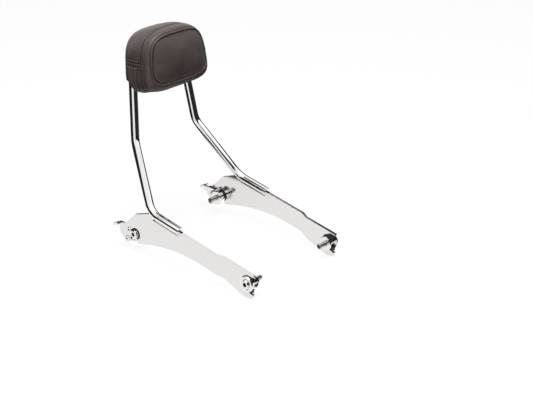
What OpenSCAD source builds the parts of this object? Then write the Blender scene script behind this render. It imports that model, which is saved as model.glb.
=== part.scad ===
// Quick-release passenger sissy bar with a leather backrest pad.
// The origin is the middle of the rear docking axis, on the plane of symmetry.
// +X points to the front of the motorcycle, +Y to its left side and +Z up.
// Pieces in pairs are modelled on the left side and mirrored to the right.

/* [Hoop tube] */
// Outer diameter of the bent tube
tube_d = 16; // [14:0.5:18]
// Wall of the bent tube
tube_wall = 2; // [1.5:0.1:3]
// Centreline radius of the bends in the legs
leg_bend_r = 45; // [35:1:55]
// Centreline radius of the two top corners, inside the pad
top_bend_r = 58; // [50:1:62]
// Backward lean of the uprights, in degrees
lean = 7; // [4:0.5:12]
// Distance of the upper bend behind the rear docking axis
bend_back = 35; // [25:1:45]
// Height of the upper bend above the rear docking axis
bend_z = 167; // [150:1:185]
// Half width over the leg centres at the upper bend
bend_half = 81; // [76:1:90]
// Half width over the leg centres at the middle of the pad
pad_leg_half = 63.5; // [61:0.5:66]
// Distance of the foot bend ahead of the rear docking axis
foot_x = 46.5; // [42:0.5:54]
// Height of the foot bend above the rear docking axis
foot_z = 56; // [52:0.5:62]
// Length of the foot that is welded along the plate
foot_len = 77; // [60:1:100]
// Thickness of the disc that closes each tube end
plug_t = 3; // [2:0.5:5]

/* [Side plates] */
// Half width over the outer faces of the rear sections
plate_out = 124; // [118:0.5:132]
// Thickness of the steel plate
plate_t = 6; // [4:0.5:7]
// How far the front section is stepped inwards
jog = 6.5; // [3:0.5:9]
// Distance from the start of the step to the front docking axis
jog_ahead = 72; // [60:1:95]
// Length of the step
jog_len = 13; // [10:1:20]
// Height of the upper prong over the front notch
prong_t = 3.5; // [3:0.25:6]
// How far the plate reaches behind the rear docking axis
tail = 43; // [40:0.5:44]
// Rise of the curved lower edge above its chord
belly = 14; // [6:1:20]
// Radius of the small weld bead beside the tube
bead_r = 3; // [2:0.25:3.5]

/* [Docking] */
// Distance from the rear docking axis to the front one
dock_span = 287; // [275:1:300]
// How far the front docking axis lies below the rear one
dock_drop = 9; // [4:1:14]
// Length of the rear spool; the front one is shorter by the step
spool_len = 25; // [20:0.5:28]
// Diameter of the spool's neck
neck_d = 18; // [16:0.5:20]
// Diameter of the spool's base flange
base_d = 28; // [24:0.5:30]
// Thickness of the spool's base flange
base_t = 3; // [2:0.5:3.5]
// Radius of the rear notch
rear_notch_r = 12; // [11.5:0.25:12.5]
// Distance of the rear notch's centre ahead of the docking axis
rear_notch_ahead = 1.9; // [1:0.1:2.2]
// Radius of the front notch
front_notch_r = 16; // [14:0.5:16.5]
// Clearance between a spool's neck and its liner
neck_gap = 0.3; // [0.1:0.05:0.5]
// Lean of the rear notch's mouth to the rear, in degrees
mouth_lean = 17; // [10:1:20]
// Diameter of the docking bolt's thread
bolt_d = 10; // [8:1:10]
// Length of the thread past the spool's base
bolt_reach = 18; // [14:1:24]
// Diameter of the docking bolt's head
head_d = 17.5; // [16:0.5:18]
// Height of the docking bolt's head
head_h = 4; // [3:0.5:5]
// Size across the flats of the docking bolt's socket
socket_af = 8; // [6:0.5:9]
// Diameter of the front cup washer
cup_d = 31; // [28:0.5:32]
// Thickness of the front cup washer
cup_t = 3.5; // [2.5:0.25:5]

/* [Latch] */
// Latch pivot, behind the rear docking axis
pivot_back = 14.7; // [14.5:0.1:15.5]
// Latch pivot, above the rear docking axis
pivot_up = 4.8; // [4:0.1:6]
// Stop screw, behind the rear docking axis
stop_back = 20.8; // [20:0.1:21.5]
// Stop screw, below the rear docking axis
stop_down = 15.8; // [15:0.1:16.5]
// Thickness of the latch lever
lever_t = 4; // [3:0.25:4.5]
// Gap between the lever and the plate
lever_gap = 0.3; // [0.2:0.05:0.6]
// Travel of the latch, in degrees
latch_open = 30; // [24:1:32]
// Distance from the pivot to the finger tab
tab_reach = 31.5; // [31:0.5:35]
// Length of the finger tab
tab_len = 12; // [8:0.5:16]
// Diameter of the two latch screws
latch_screw_d = 6; // [5:0.5:6.5]
// Diameter of the two latch screws' heads
latch_head_d = 10; // [8:0.25:10.25]
// Diameter of the latch spring's wire
wire_d = 1; // [0.8:0.1:1.2]

/* [Pad] */
// Height of the pad's middle above the upper bend, along the lean
pad_up = 153; // [145:1:165]
// Half width of the pad at mid height
pad_half_w = 77; // [75:1:84]
// Half height of the pad
pad_half_h = 56; // [54:1:64]
// Share by which the pad narrows to the top and widens to the bottom
pad_taper = 0.12; // [0.08:0.01:0.14]
// Squareness of the pad's upper corners
pad_top_square = 2.9; // [2.4:0.1:3.6]
// Squareness of the pad's lower corners
pad_low_square = 4.2; // [3.6:0.1:5]
// Distance from the hoop's centre plane to the back of the pad
pad_back = 11.5; // [10.5:0.5:14]
// Distance from the hoop's centre plane to the seam round the face
pad_seam = 38; // [32:1:46]
// Height of the crowned face above the seam
pad_crown = 25; // [15:1:30]
// Thickness of the padded leather cover
cover_t = 2.4; // [2:0.2:3]
// Depth of the sewn groove in the face
groove_depth = 2.5; // [1:0.5:4]
// Thickness of the moulded pan behind the foam
pan_t = 4; // [3:0.5:5]
// Thickness of the bracket that is welded across the hoop
bracket_t = 3; // [2.5:0.5:4]
// Thickness of the moulded back cover
back_t = 2.5; // [2:0.25:2.75]
// Diameter of the pad screws
pad_screw_d = 6; // [5:0.5:6]
// Spacing of the pad screws across the bracket
screw_across = 72; // [60:1:80]
// Spacing of the pad screws up the bracket
screw_up = 22; // [18:1:24]
// Width of the bracket's edge past the pad screws
bracket_margin = 10; // [8:0.5:11]

/* [Hidden] */
$fn = 64;
tube_r = tube_d / 2;
bore_r = tube_r - tube_wall;
bend_thin = 0.04;
seat_y = plate_out - plate_t / 2;
inner_y = plate_out - plate_t;
rear_spool_y = plate_out + 1;
front_spool_y = plate_out - jog + 1;
dock_face = rear_spool_y - spool_len;
jog_x = dock_span - jog_ahead;
neck_r = neck_d / 2;
liner_r = neck_r + neck_gap;
latch_screw_r = latch_screw_d / 2;
fit = 0.25;
touch = 0.01;
wide = 60;

// Corners of the left half of the hoop's centreline
leg_in = (bend_half - pad_leg_half) / pad_up;
hoop_up = pad_up + 22;
function lean_point(across, up) =
    [-bend_back - up * sin(lean), across, bend_z + up * cos(lean)];
hoop_top = lean_point(bend_half - leg_in * hoop_up, hoop_up);
leg_bend = [-bend_back, bend_half, bend_z];
foot_bend = [foot_x, seat_y, foot_z];
prong_x = dock_span + 15;
top_z_front = front_notch_r - dock_drop + prong_t;
top_fall = atan((foot_z - top_z_front) / (prong_x - foot_x));
foot_dir = [cos(top_fall), 0, -sin(top_fall)];
foot_end = foot_bend + foot_len * foot_dir;

// Edges of the side plate, seen from the side as [x, z]
neck_path_w = 2 * neck_r + 0.4;
front_axis = [dock_span, -dock_drop];
rear_pocket = [rear_notch_ahead, 0.3];
pivot = [-pivot_back, pivot_up];
stop = [-stop_back, -stop_down];

// Stack of the latch, measured out from the plane of symmetry
lever_y = inner_y - lever_gap - lever_t;
spring_room = 5.6;
latch_nut_h = 4;
latch_nut_y = lever_y - spring_room - latch_nut_h;
latch_head_h = 2.5;
latch_head_r = latch_head_d / 2;

// Stack of the pad, measured forwards from the hoop's centre plane
bracket_n = tube_r - 0.5;
pan_n = bracket_n + bracket_t;
foam_n = pan_n + pan_t;
screw_mid_up = pad_up - 25;

// Points of an arc that rounds the corner b between a and c with radius r
function rounding(a, b, c, r) =
    let (u = (a - b) / norm(a - b), v = (c - b) / norm(c - b),
        half = acos(u * v) / 2,
        mid = b + (u + v) / norm(u + v) * r / sin(half),
        from = b + u * r / tan(half) - mid,
        to = b + v * r / tan(half) - mid,
        start = atan2(from[1], from[0]),
        turn = atan2(from[0] * to[1] - from[1] * to[0], from * to),
        steps = max(2, ceil(abs(turn) / 12)))
    [for (i = [0:steps]) mid + r * [cos(start + turn * i / steps), sin(start + turn * i / steps)]];

// A closed outline from corners given as [x, z, rounding radius]
function outline(p) =
    let (n = len(p))
    [for (i = [0:n - 1])
        let (b = [p[i][0], p[i][1]],
            a = [p[(i + n - 1) % n][0], p[(i + n - 1) % n][1]],
            c = [p[(i + 1) % n][0], p[(i + 1) % n][1]])
        each (p[i][2] > 0 ? rounding(a, b, c, p[i][2]) : [b])];

// Points of a flat curve from p to q that bows to its left by rise
function bow(p, q, rise, steps) =
    let (d = q - p, side = [-d[1], d[0]] / norm(d))
    [for (i = [1:steps - 1]) let (t = i / steps) p + d * t + side * rise * 4 * t * (1 - t)];

// A unit vector along v
function unit(v) = v / norm(v);

// Places a shape with its X, Y and Z axes along three given directions
module stand(x, y, z, at) {
    multmatrix([[x[0], y[0], z[0], at[0]], [x[1], y[1], z[1], at[1]], [x[2], y[2], z[2], at[2]]])
        children();
}

// A straight rod of radius r from a to b, or a tube with a bore
module rod(a, b, r, bore = 0) {
    z = unit(b - a);
    x = unit(cross(z, abs(z[1]) > 0.9 ? [0, 0, 1] : [0, 1, 0]));
    stand(x, cross(z, x), z, a)
        difference() {
            cylinder(h = norm(b - a), r = r);
            if (bore > 0)
                translate([0, 0, -1])
                    cylinder(h = norm(b - a) + 2, r = bore);
        }
}

// A rod or tube that is bent at the inner corners of its path
module bent_rod(path, bends, r, bore = 0) {
    $fn = 28;
    lap = 0.4;
    last = len(path) - 1;
    dirs = [for (i = [0:last - 1]) unit(path[i + 1] - path[i])];
    turns = [for (i = [1:last - 1]) acos(dirs[i - 1] * dirs[i])];
    cuts = [for (i = [0:last]) i == 0 || i == last ? 0 : bends[i - 1] * tan(turns[i - 1] / 2)];
    for (i = [0:last - 1])
        rod(path[i] + dirs[i] * (cuts[i] - (i > 0 ? lap : 0)),
            path[i + 1] - dirs[i] * (cuts[i + 1] - (i < last - 1 ? lap : 0)), r, bore);
    for (i = [1:last - 1]) {
        out = unit(dirs[i - 1] * (dirs[i - 1] * dirs[i]) - dirs[i]);
        stand(out, dirs[i - 1], cross(out, dirs[i - 1]),
            path[i] - dirs[i - 1] * cuts[i] - out * bends[i - 1])
            rotate_extrude(angle = turns[i - 1])
                translate([bends[i - 1], 0])
                    difference() {
                        circle(r = r - bend_thin);
                        if (bore > 0)
                            circle(r = bore + bend_thin);
                    }
    }
}

function flip(p) = [p[0], -p[1], p[2]];

// The whole hoop as a rod of radius r, or as a tube with a bore
module hoop_path(r, bore = 0) {
    bent_rod([foot_end, foot_bend, leg_bend, hoop_top, flip(hoop_top), flip(leg_bend),
        flip(foot_bend), flip(foot_end)],
        [leg_bend_r, leg_bend_r, top_bend_r, top_bend_r, leg_bend_r, leg_bend_r], r, bore);
}

module leg_path(r) {
    bent_rod([foot_end, foot_bend, leg_bend, lean_point(bend_half - leg_in * wide, wide)],
        [leg_bend_r, leg_bend_r], r);
}

// An [x, z] outline made a slab between two distances from the plane of symmetry
module slab(y_in, y_out) {
    translate([0, y_out, 0])
        rotate([90, 0, 0])
            linear_extrude(y_out - y_in)
                children();
}

// A turned piece on an axis across the motorcycle, from [radius, y] points
module turned(at, points) {
    translate([at[0], 0, at[1]])
        rotate([-90, 0, 0])
            rotate_extrude()
                polygon(points);
}

// A round hole or shaft across the motorcycle
module across(at, r, y_in, y_out) {
    translate([at[0], y_in, at[1]])
        rotate([-90, 0, 0])
            cylinder(h = y_out - y_in, r = r);
}

module mirrored(side) {
    if (side > 0)
        children();
    else
        mirror([0, 1, 0])
            children();
}

// Puts a shape with X forwards, Y across and Z up the pad on the leaning hoop
module on_hoop() {
    translate([-bend_back, 0, bend_z])
        rotate([0, -lean, 0])
            children();
}

// The bent tube, open at both ends
module hoop_tube() {
    color("gainsboro")
        hoop_path(tube_r, bore_r);
}

module tube_plug(side) {
    color("gainsboro")
        mirrored(side)
            rod(foot_end - plug_t * foot_dir, foot_end, bore_r);
}

// Outline of the side plate without its two round notches
function plate_edge() =
    let (half = neck_path_w / 2,
        down = [-sin(mouth_lean), -cos(mouth_lean)],
        side = [cos(mouth_lean), -sin(mouth_lean)],
        tip_in = 22 * down - half * side,
        lip = 17 * down + half * side,
        belly_rear = [lip[0] + 8, -17.5],
        belly_front = [jog_x + 1, -14.3])
    concat(
        outline([
            [foot_x, foot_z, 0],
            [prong_x, top_z_front, 2],
            [prong_x + 0.5, top_z_front - 3, 1],
            [dock_span, front_notch_r - dock_drop, 0],
            [dock_span, -dock_drop, 0],
            [dock_span, -dock_drop - front_notch_r, 0],
            [prong_x - 2, -dock_drop - front_notch_r - 4, 2],
            [prong_x - 5, -dock_drop - 28, 5],
            [dock_span - 8, -dock_drop - 28.5, 25],
            [belly_front[0], belly_front[1], 0]]),
        bow(belly_front, belly_rear, -belly, 16),
        outline([
            [belly_rear[0], belly_rear[1], 0],
            [lip[0], lip[1], 4],
            [half * side[0], half * side[1], 0],
            [-half * side[0], -half * side[1], 0],
            [tip_in[0], tip_in[1], 3],
            [-stop_back - 1, -stop_down - 12.5, 7],
            [-stop_back - 10, -stop_down - 3.5, 5],
            [-tail, -7, 9],
            [-tail, 5, 4],
            [-18, 21.5, 40],
            [2, 41.5, 7],
            [foot_x - 8, foot_z - 2, 0]]));

// Strip of the plate seen from above, with the step to the front section
module plate_plan() {
    jog_end = jog_x + jog_len;
    bend = 12;
    polygon(outline([
        [-wide, plate_out, 0],
        [jog_x, plate_out, bend],
        [jog_end, plate_out - jog, bend],
        [prong_x + wide, plate_out - jog, 0],
        [prong_x + wide, inner_y - jog, 0],
        [jog_end, inner_y - jog, bend],
        [jog_x, inner_y, bend],
        [-wide, inner_y, 0]]));
}

// Chromed steel plate with its notches, screw holes and the seat of the tube
module side_plate(side) {
    bead_off = plate_t / 2 + bead_r * 0.4;
    bead_drop = sqrt(pow(tube_r, 2) - pow(plate_t / 2, 2));
    bead_from = foot_bend + 10 * foot_dir - [0, 0, bead_drop];
    bead_to = foot_end - bead_r * foot_dir - [0, 0, bead_drop];
    color("whitesmoke")
        mirrored(side)
            difference() {
                union() {
                    intersection() {
                        slab(inner_y - wide / 2, plate_out + wide / 2)
                            polygon(plate_edge());
                        translate([0, 0, -wide])
                            linear_extrude(3 * wide)
                                plate_plan();
                    }
                    for (s = [-1, 1])
                        rod(bead_from + [0, s * bead_off, 0], bead_to + [0, s * bead_off, 0], bead_r);
                }
                leg_path(tube_r);
                across(rear_pocket, rear_notch_r, inner_y - touch, plate_out + touch);
                across(front_axis, front_notch_r, inner_y - jog - touch, plate_out);
                for (at = [pivot, stop])
                    across(at, latch_screw_r + 0.1, inner_y - touch, plate_out + touch);
            }
}

// Black crescent liner pressed into the rear notch, open at the mouth
module dock_liner_rear(side) {
    color("#202020")
        mirrored(side)
            difference() {
                across(rear_pocket, rear_notch_r, inner_y, plate_out + 0.5);
                across([0, 0], liner_r, inner_y - 1, plate_out + 1);
                slab(inner_y - 1, plate_out + 1)
                    rotate(-mouth_lean)
                        translate([-neck_path_w / 2, -wide])
                            square([neck_path_w, wide]);
            }
}

// Black liner pressed into the front notch, open to the front
module dock_liner_front(side) {
    y_in = inner_y - jog;
    y_out = plate_out - jog + 0.5;
    reach = 11;
    color("#202020")
        mirrored(side)
            translate([dock_span, 0, -dock_drop])
                difference() {
                    union() {
                        across([0, 0], front_notch_r, y_in, y_out);
                        slab(y_in, y_out)
                            translate([0, -front_notch_r])
                                square([reach, 2 * front_notch_r]);
                    }
                    across([0, 0], liner_r, y_in - 1, y_out + 1);
                    slab(y_in - 1, y_out + 1)
                        translate([0, -neck_path_w / 2])
                            square([wide, neck_path_w]);
                }
}

// Turned spool that stays on the motorcycle
module dock_spool(side, at, y_out) {
    hole = bolt_d / 2 + bolt_room;
    soft = 0.8;
    color("gainsboro")
        mirrored(side)
            turned(at, [
                [hole, dock_face],
                [base_d / 2 - soft, dock_face],
                [base_d / 2, dock_face + soft],
                [base_d / 2, dock_face + base_t - soft],
                [base_d / 2 - soft, dock_face + base_t],
                [neck_r, dock_face + base_t],
                [neck_r, y_out - soft],
                [neck_r - soft, y_out],
                [hole, y_out]]);
}

// Button-head bolt with a hexagon socket, its head seated at y_seat
module button_bolt(at, y_tip, y_seat, r, head_r, head_h, af, y_thread, waist = 0.1) {
    crown = head_h * 0.4;
    shank_r = r - waist;
    difference() {
        turned(at, [
            [0, y_tip],
            [r - 0.8, y_tip],
            [r, y_tip + 0.8],
            [r, y_thread],
            [shank_r, y_thread],
            [shank_r, y_seat],
            [head_r, y_seat],
            [head_r, y_seat + head_h - crown],
            [head_r * 0.93, y_seat + head_h - crown * 0.4],
            [head_r * 0.78, y_seat + head_h],
            [0, y_seat + head_h]]);
        translate([at[0], y_seat + head_h * 0.25, at[1]])
            rotate([-90, 0, 0])
                cylinder(h = head_h, d = af / cos(30), $fn = 6);
    }
}

cup_dish = 1;
// Clearance round a docking bolt, and how far its shank is waisted
bolt_room = 0.5;
bolt_waist = 0.5;

// Docking bolt; its shank inside the spool is waisted to the thread's pitch diameter
module dock_bolt(side, at, y_seat) {
    color("silver")
        mirrored(side)
            button_bolt(at, dock_face - bolt_reach, y_seat, bolt_d / 2, head_d / 2, head_h, socket_af,
                dock_face, bolt_waist);
}

// Wide washer with a dished face that holds the front section sideways
module cup_washer(side) {
    r = cup_d / 2;
    y = front_spool_y;
    color("gainsboro")
        mirrored(side)
            turned(front_axis, [
                [bolt_d / 2 + bolt_room, y],
                [r - 0.6, y],
                [r, y + 0.6],
                [r, y + cup_t - 1.2],
                [r - 0.4, y + cup_t - 0.4],
                [r - 1.2, y + cup_t],
                [head_d / 2 + 2.2, y + cup_t],
                [head_d / 2 + fit, y + cup_t - cup_dish],
                [bolt_d / 2 + bolt_room, y + cup_t - cup_dish]]);
}

// Outline of a curved slot about a centre, with round ends of radius half
function arc_slot(centre, radius, half, from, to) =
    let (far = centre + radius * dir2(to), near = centre + radius * dir2(from))
    concat(
        [for (i = [0:5]) centre + (radius + half) * dir2(from + (to - from) * i / 5)],
        [for (i = [1:11]) far + half * dir2(to + 15 * i)],
        [for (i = [5:-1:0]) centre + (radius - half) * dir2(from + (to - from) * i / 5)],
        [for (i = [1:11]) near + half * dir2(from + 180 + 15 * i)]);

// Flat shape of the latch lever, seen from the right side
module lever_shape() {
    reach = norm(stop - pivot);
    at_rest = atan2(stop[1] - pivot[1], stop[0] - pivot[0]);
    boss_r = norm(pivot) - neck_r - 0.9;
    slot_r = latch_screw_r + 0.3;
    band = slot_r + 2.9;
    arm = 4.5;
    nose = 240;
    nose_in = neck_r + 0.8;
    nose_out = nose_in + 5.5;
    difference() {
        union() {
            translate(pivot)
                circle(r = boss_r);
            polygon(arc_slot(pivot, reach, band, at_rest, at_rest + latch_open));
            polygon([
                pivot + [1 - boss_r, 0],
                pivot + (reach - 2) * dir2(at_rest) + [1 - band, 0],
                pivot + (reach - 2) * dir2(at_rest + latch_open),
                nose_out * dir2(nose),
                0.85 * nose_in * dir2(nose),
                0.85 * nose_in * dir2(200),
                pivot + [boss_r - 1.5, -2]]);
            polygon([
                pivot + [1, arm],
                pivot + [-tab_reach - 1, arm],
                pivot + [-tab_reach - 1, -arm],
                pivot + [-boss_r, -arm - 4],
                pivot + [1, 0]]);
        }
        circle(r = nose_in);
        translate(pivot)
            circle(r = latch_screw_r + 0.05);
        polygon(arc_slot(pivot, reach, slot_r, at_rest, at_rest + latch_open));
    }
}

function dir2(a) = [cos(a), sin(a)];

// Spring latch that closes the rear notch, with its finger tab behind the plate
module latch_lever(side) {
    tab_x = -pivot_back - tab_reach;
    tab_t = 3;
    lip_r = 2.6;
    peg_r = 1.5;
    color("gainsboro")
        mirrored(side) {
            slab(lever_y, lever_y + lever_t)
                lever_shape();
            slab(lever_y, plate_out + 3)
                polygon([
                    [tab_x, pivot_up + 4.5],
                    [tab_x - 3, pivot_up + 4.5],
                    [tab_x - tab_len + 2, pivot_up + 0.5],
                    [tab_x - tab_len + 2, pivot_up + 0.5 - tab_t],
                    [tab_x - 3, pivot_up + 4.5 - tab_t - 1],
                    [tab_x, pivot_up + 4.5 - tab_t - 1]]);
            slab(lever_y, lever_y + lever_t)
                polygon([
                    [tab_x, pivot_up + 4.5],
                    [tab_x - 4, pivot_up + 3],
                    [tab_x - 4, pivot_up - 1],
                    [tab_x, pivot_up - 4.5]]);
            across([tab_x - tab_len + 2, pivot_up + 0.5 - tab_t / 2], lip_r, lever_y, plate_out + 3);
            across(pivot + peg_at(), peg_r, lever_y - spring_room + 3, lever_y + touch);
        }
}

// The spring leaves its coil along two lines that pass the peg and the stop screw
coil_r = latch_screw_r + 0.3 + wire_d / 2;
function peg_at() = 14 * dir2(165) - 1.5 * dir2(75) * -1 * (coil_r - wire_d / 2 - 0.3 - 1.5) / 1.5;

module latch_pivot_screw(side) {
    color("silver")
        mirrored(side)
            button_bolt(pivot, latch_nut_y - 1, plate_out, latch_screw_r, latch_head_r, latch_head_h, 4,
                lever_y + lever_t + lever_gap / 2);
}

module latch_stop_screw(side) {
    color("silver")
        mirrored(side)
            button_bolt(stop, latch_nut_y - 1, plate_out, latch_screw_r, latch_head_r, latch_head_h, 4,
                lever_y + lever_t + lever_gap / 2);
}

// The two hexagon nuts on the inner ends of the latch screws
module latch_nuts(side) {
    color("silver")
        mirrored(side)
            for (at = [pivot, stop])
                difference() {
                    translate([at[0], latch_nut_y, at[1]])
                        rotate([-90, 0, 0])
                            cylinder(h = latch_nut_h, d = 9.5 / cos(30), $fn = 6);
                    across(at, latch_screw_r + 0.05, latch_nut_y - 1, latch_nut_y + latch_nut_h + 1);
                }
}

// Route of the torsion spring's wire as [x, y, z], from the anchored end to the peg
function spring_route() =
    let (down = unit(stop - pivot), from = atan2(down[1], down[0]) + 90,
        to = 75 + 3 * 360, y0 = latch_nut_y + latch_nut_h + 1.1,
        y1 = lever_y - 0.3 - wire_d / 2, steps = 56,
        reach = norm(stop - pivot) + 4)
    concat(
        [for (l = [reach, reach / 2]) let (p = pivot + coil_r * dir2(from) + l * down) [p[0], y0, p[1]]],
        [for (i = [0:steps]) let (t = i / steps, p = pivot + coil_r * dir2(from + (to - from) * t))
            [p[0], y0 + (y1 - y0) * t, p[1]]],
        [for (l = [8, 17]) let (p = pivot + coil_r * dir2(75) + l * dir2(165)) [p[0], y1, p[1]]]);

// A round wire along a route, with flat ends
module wire(route, r, sides) {
    n = len(route);
    rings = [for (i = [0:n - 1])
        let (d = unit(route[min(i + 1, n - 1)] - route[max(i - 1, 0)]),
            a = unit(cross(d, [0, 1, 0])), b = cross(d, a))
        for (k = [0:sides - 1]) route[i] + r * (a * cos(360 * k / sides) + b * sin(360 * k / sides))];
    polyhedron(rings, concat(
        [[for (k = [0:sides - 1]) k]],
        [for (i = [0:n - 2]) for (k = [0:sides - 1])
            [i * sides + k, (i + 1) * sides + k, (i + 1) * sides + (k + 1) % sides,
                i * sides + (k + 1) % sides]],
        [[for (k = [sides - 1:-1:0]) (n - 1) * sides + k]]), convexity = 8);
}

module latch_spring(side) {
    color("dimgray")
        mirrored(side)
            wire(spring_route(), wire_d / 2, 8);
}

// Edge of the pad seen from the front, at a share s of its full size
function pad_ring(s, n) =
    [for (i = [0:pad_sides - 1])
        let (t = 360 * i / pad_sides, c = cos(t), q = sin(t),
            power = 2 / (q > 0 ? pad_top_square : pad_low_square),
            across = sign(c) * pow(abs(c), power), up = sign(q) * pow(abs(q), power))
        [n, pad_half_w * (1 - pad_taper * up) * across * s, pad_up + pad_half_h * up * s]];

pad_sides = 48;
crown_power = 2.8;
groove_at = 0.81;
function crown(s) = pad_seam + pad_crown * pow(1 - pow(s, crown_power), 1 / crown_power);

// A closed skin over rings given as [distance forwards, size], with its poles at the ends
module skin(levels, pole_a, pole_b) {
    n = len(levels);
    m = pad_sides;
    points = concat(
        [for (l = levels) each pad_ring(l[1], l[0])],
        [[pole_a, 0, pad_up], [pole_b, 0, pad_up]]);
    polyhedron(points, concat(
        [for (k = [0:m - 1]) [n * m, k, (k + 1) % m]],
        [for (i = [0:n - 2]) for (k = [0:m - 1])
            [i * m + k, (i + 1) * m + k, (i + 1) * m + (k + 1) % m, i * m + (k + 1) % m]],
        [for (k = [0:m - 1]) [n * m + 1, (n - 1) * m + (k + 1) % m, (n - 1) * m + k]]), convexity = 6);
}

// Levels of the pad's outer surface, from the middle of the face to the back rim
function face_levels() = concat(
    [for (s = [0.3, 0.55, 0.7, 0.78]) [crown(s), s]],
    [[crown(groove_at) - groove_depth, groove_at]],
    [for (s = [0.84, 0.89, 0.94, 0.975]) [crown(s), s]],
    [[pad_seam, 0.99], [pad_seam - 3, 1], [18, 1], [4, 0.985], [-4, 0.965], [-pad_back + 2, 0.935]]);

// The same surface moved inwards by the thickness t
function inner_levels(t) =
    let (inset = t / pad_half_w, outer = face_levels())
    [for (l = outer) [l[0] > pad_seam - 2 ? l[0] - t : l[0], l[1] - inset]];

function reversed(list) = [for (i = [len(list) - 1:-1:0]) list[i]];

// Sewn leather cover of the face, the sides and the rim of the back
module pad_cover() {
    rim = 0.90;
    color("#3a3330")
        difference() {
            on_hoop()
                skin(concat(face_levels(), [[-pad_back, rim], [-pad_back, rim - cover_t / pad_half_w]],
                    reversed(inner_levels(cover_t))), crown(0), crown(0) - cover_t);
            for (side = [1, -1])
                mirrored(side)
                    leg_slot();
        }
}

// Room for a leg where it leaves the pad at the lower corner, open to the back
module leg_slot() {
    low = pad_up - pad_half_h - 10;
    high = pad_up - 29;
    r = tube_r + 0.6;
    rod(lean_point(bend_half - leg_in * low, low), lean_point(bend_half - leg_in * high, high), r);
    on_hoop()
        translate([-pad_back - 5, bend_half - leg_in * low, low])
            rotate([atan(leg_in), 0, 0])
                translate([0, -r, 0])
                    cube([pad_back + 5, 2 * r, (high - low) / cos(atan(leg_in))]);
}

module pad_foam() {
    gap = cover_t + 0.3;
    front = [for (l = inner_levels(gap)) if (l[0] > foam_n + 1) l];
    base = [foam_n, 0.985 - gap / pad_half_w];
    color("#6b6660")
        on_hoop()
            skin(concat(front, [base]), crown(0) - gap, foam_n);
}

// A flat outline across the hoop, between two distances forwards of its centre plane
module pad_slab(n_back, n_front) {
    on_hoop()
        translate([n_back, 0, 0])
            rotate([90, 0, 90])
                linear_extrude(n_front - n_back)
                    children();
}

// A round hole or shaft that runs forwards through the hoop's plane
module forwards(p, r, n_back, n_front) {
    on_hoop()
        translate([n_back, p[0], p[1]])
            rotate([0, 90, 0])
                cylinder(h = n_front - n_back, r = r);
}

pad_screw_spots = [for (u = [-1, 1]) for (v = [-1, 1])
    [u * screw_across / 2, screw_mid_up + v * screw_up / 2]];
cover_screw_spots = [for (u = [-1, 1]) [u * 18, screw_mid_up]];
pad_screw_r = pad_screw_d / 2;
cover_screw_r = 2.5;
barrel_r = pad_screw_r + 1.2;
flange_r = barrel_r + 4;
flange_t = 1.5;

// Steel bracket that is welded across the front of both legs
module pad_bracket() {
    low = screw_mid_up - screw_up / 2 - bracket_margin;
    high = screw_mid_up + screw_up / 2 + bracket_margin;
    leg_low = bend_half - leg_in * low;
    leg_high = bend_half - leg_in * high;
    color("dimgray")
        difference() {
            pad_slab(bracket_n, bracket_n + bracket_t)
                polygon(outline([
                    [-leg_low, low, 4], [leg_low, low, 4], [leg_high, high, 4], [-leg_high, high, 4]]));
            hoop_path(tube_r);
            for (p = pad_screw_spots)
                forwards(p, pad_screw_r + fit, bracket_n - 1, pan_n + 1);
            for (p = cover_screw_spots)
                forwards(p, cover_screw_r + 0.05, bracket_n - 1, pan_n + 1);
        }
}

// Moulded pan that the foam sits on
module pad_pan() {
    pan_s = 0.985 - (cover_t + 0.6) / pad_half_w;
    color("#1c1c1c")
        difference() {
            pad_slab(pan_n, foam_n)
                polygon([for (p = pad_ring(pan_s, 0)) [p[1], p[2]]]);
            for (p = pad_screw_spots) {
                forwards(p, barrel_r + 0.05, pan_n - 1, foam_n + 1);
                forwards(p, flange_r + 0.2, foam_n - flange_t - 0.1, foam_n + 1);
            }
            for (p = cover_screw_spots)
                forwards(p, cover_screw_r + 0.5, pan_n - 1, foam_n - 1);
        }
}

// Flanged nuts pressed into the front of the pan
module pad_tee_nuts() {
    color("silver")
        for (p = pad_screw_spots)
            difference() {
                union() {
                    forwards(p, barrel_r, pan_n, foam_n - flange_t);
                    forwards(p, flange_r, foam_n - flange_t, foam_n);
                }
                forwards(p, pad_screw_r + 0.05, pan_n - 1, foam_n + 1);
            }
}

washer_t = 1.2;

module pad_washers() {
    color("silver")
        for (p = pad_screw_spots)
            difference() {
                forwards(p, pad_screw_r * 2, bracket_n - washer_t, bracket_n);
                forwards(p, pad_screw_r + fit, bracket_n - washer_t - 1, bracket_n + 1);
            }
}

// A screw with a socket head that points forwards, its head seated at n_seat
module forward_screw(p, n_seat, n_tip, r, head_r, head_h, af) {
    difference() {
        union() {
            forwards(p, r, n_seat - 0.5, n_tip);
            forwards(p, head_r, n_seat - head_h, n_seat);
        }
        on_hoop()
            translate([n_seat - head_h - 1, p[0], p[1]])
                rotate([0, 90, 0])
                    cylinder(h = head_h * 0.6 + 1, d = af / cos(30), $fn = 6);
    }
}

module pad_screws() {
    color("silver")
        for (p = pad_screw_spots)
            forward_screw(p, bracket_n - washer_t, foam_n - 0.5, pad_screw_r, pad_screw_r * 1.7, 4, 4);
}

// Moulded shell that closes the back of the pad
module back_cover() {
    rim_s = 0.90 - (cover_t + 0.4) / pad_half_w;
    boss_r = 5;
    color("#1c1c1c")
        difference() {
            union() {
                pad_slab(-pad_back, -pad_back + back_t)
                    polygon([for (p = pad_ring(rim_s, 0)) [p[1], p[2]]]);
                for (p = cover_screw_spots)
                    forwards(p, boss_r, -pad_back + back_t - touch, bracket_n);
            }
            for (p = cover_screw_spots)
                forwards(p, cover_screw_r + fit, -pad_back - 1, bracket_n + 1);
        }
}

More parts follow.
